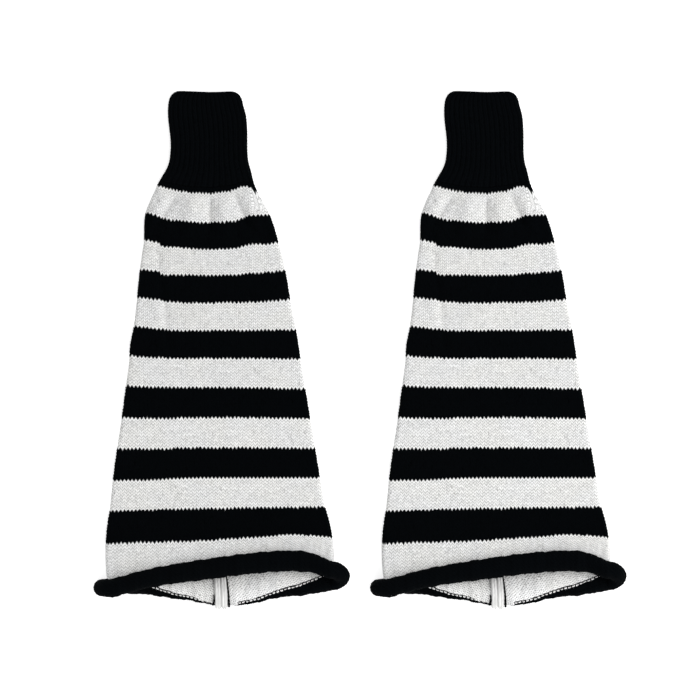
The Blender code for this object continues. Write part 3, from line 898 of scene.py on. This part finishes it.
def seam_mesh(name):
    shares = np.linspace(-1.0, 1.0, 33)
    plain = every(SEAM_FIRST_ROW, SEAM_DETAIL_FROM_ROW, SEAM_PLAIN_STEP)
    rows = np.concatenate((plain, every(SEAM_DETAIL_FROM_ROW, SEAM_LAST_ROW, SEAM_DETAIL_STEP)[1:]))
    s, r = np.meshgrid(shares, rows)
    rounded = np.sqrt(np.clip(1 - np.abs(2 * np.abs(s) - 1) ** 2.5, 0.0, 1.0))
    strand = 0.5 + 0.5 * np.cos(2 * np.pi * (np.abs(s) * 2 + 0.5))
    twist = np.sin(2 * np.pi * (r / 1.6 + np.sign(s) * np.abs(s) * 1.3))
    grown = np.clip((r - SEAM_FIRST_ROW) / (LAST_FLAT_ROW - SEAM_FIRST_ROW), 0.0, 1.0)
    height = SEAM_HEIGHT_TOP + (SEAM_HEIGHT_HEM - SEAM_HEIGHT_TOP) * grown**SEAM_GROWTH_POWER
    height = height * (1 - 0.6 * eased((r - SEAM_WHITE_UNTIL_ROW) / 4))
    lift = SEAM_GAP + height * rounded * (0.72 + 0.22 * strand + 0.06 * twist)
    sway = 0.02 * np.sin(r / 2.1) * (1 - s * s)
    top = seam_points(s + sway, r, lift)
    base = seam_points(s, r, np.full_like(r, SEAM_GAP - 0.1))
    count = s.size
    number = np.arange(count).reshape(s.shape)
    quads = []
    for grid, flip in ((number, False), (number + count, True)):
        quad = np.stack((grid[:-1, :-1], grid[:-1, 1:], grid[1:, 1:], grid[1:, :-1]), -1).reshape(-1, 4)
        quads.append(quad[:, ::-1] if flip else quad)
    for edge in (number[0], number[:, -1], number[-1, ::-1], number[::-1, 0]):
        quads.append(np.stack((edge[1:], edge[:-1], edge[:-1] + count, edge[1:] + count), -1))
    places, quads = np.concatenate((top.reshape(-1, 3), base.reshape(-1, 3))), np.concatenate(quads)
    mesh = bpy.data.meshes.new(name)
    mesh.from_pydata((places * MM).tolist(), [], quads.tolist())
    uv_map = mesh.uv_layers.new(name="knit")
    uv = np.stack((np.tile(s.ravel() * 2, 2), np.tile(r.ravel(), 2)), -1)
    uv_map.data.foreach_set("uv", uv[quads.reshape(-1)].reshape(-1).astype(np.float32))
    mesh.shade_smooth()
    return mesh


selvedge_yarn = bpy.data.materials.new("selvedge_yarn")
selvedge_yarn.use_nodes = True
selvedge_shader = selvedge_yarn.node_tree.nodes["Principled BSDF"]
selvedge_shader.inputs["Roughness"].default_value = 0.9
selvedge_shader.inputs["Specular IOR Level"].default_value = 0.02
maker = Strand(selvedge_yarn.node_tree)
seam_uv = maker.node("ShaderNodeUVMap", {"uv_map": "knit"})
share, row = (
    maker.node("ShaderNodeSeparateXYZ", None, {0: seam_uv}, out=axis) for axis in (0, 1)
)
streaks = maker.node("ShaderNodeCombineXYZ", None, {0: share * 5.5, 1: row * 0.32})
streaks = maker.node("ShaderNodeTexNoise", None, {"Vector": streaks, "Scale": 1.0, "Detail": 2.0})
seam_white = maker.mix(streaks.smooth(0.34, 0.62), SEAM_SHADE, SEAM_LIGHT)
seam_black = black_band(row).math("MAXIMUM", row.math("GREATER_THAN", SEAM_WHITE_UNTIL_ROW))
seam_colour = maker.mix(seam_black, seam_white, BLACK_YARN)
selvedge_yarn.node_tree.links.new(seam_colour.socket, selvedge_shader.inputs["Base Color"])
ridges = seam_mesh("seam_ridges")
ridges.materials.append(selvedge_yarn)
seam_ridges = place_pair("seam_ridges", ridges, "seam")


def yarn_mesh(name, rows, share, radius, lift):
    """A black yarn carried along the back's inside.

    rows has its first and last row and its number of points. share, radius and lift are
    evenly spread along it.
    """
    rows = np.linspace(*rows)
    t = np.linspace(0.0, 1.0, len(rows))
    share, radius, lift = (
        np.interp(t, np.linspace(0.0, 1.0, len(values)), values) for values in (share, radius, lift)
    )
    centre = seam_points(share, rows, lift)
    normal = cloth_normals(np.full_like(rows, 3.0), rows)
    angle = np.linspace(0.0, 2 * np.pi, 9)[:-1]
    ends = np.sqrt(np.clip(1 - (2 * t - 1) ** 12, 0.02, 1.0))
    size = (radius * ends * (1 + 0.12 * np.sin(rows * 5.0)))[:, None, None]
    side = np.cross(normal, np.gradient(centre, axis=0))
    side /= np.linalg.norm(side, axis=1, keepdims=True)
    ring = side[:, None] * np.cos(angle)[:, None] + normal[:, None] * np.sin(angle)[:, None]
    places = (centre[:, None] + ring * size).reshape(-1, 3)
    number = np.arange(len(rows) * len(angle)).reshape(-1, len(angle))
    beside = np.roll(number, -1, axis=1)
    quads = np.stack((number[:-1], beside[:-1], beside[1:], number[1:]), -1).reshape(-1, 4).tolist()
    mesh = bpy.data.meshes.new(name)
    mesh.from_pydata((places * MM).tolist(), [], quads + [number[0, ::-1].tolist(), number[-1].tolist()])
    mesh.materials.append(black_yarn)
    mesh.shade_smooth()
    return mesh


carried = yarn_mesh(
    "carried_yarn",
    rows=(116, 133.2, 90),
    share=(0.86, 0.96, 1.12, 1.2, 1.24),
    radius=(0.5, 0.5, 0.6, 0.8, 1.15),
    lift=(1.2, 1.2, 1.0, 0.8, 0.8),
)
carried_yarn = place_pair("carried_yarn", carried, None)
hooked = yarn_mesh(
    "hooked_yarn",
    rows=(128.0, 131.6, 30),
    share=(-1.15, -1.1, -1.35),
    radius=(0.5, 0.8, 1.1),
    lift=(0.8, 0.8, 0.6),
)
hooked_yarn = place_pair("hooked_yarn", hooked, None)
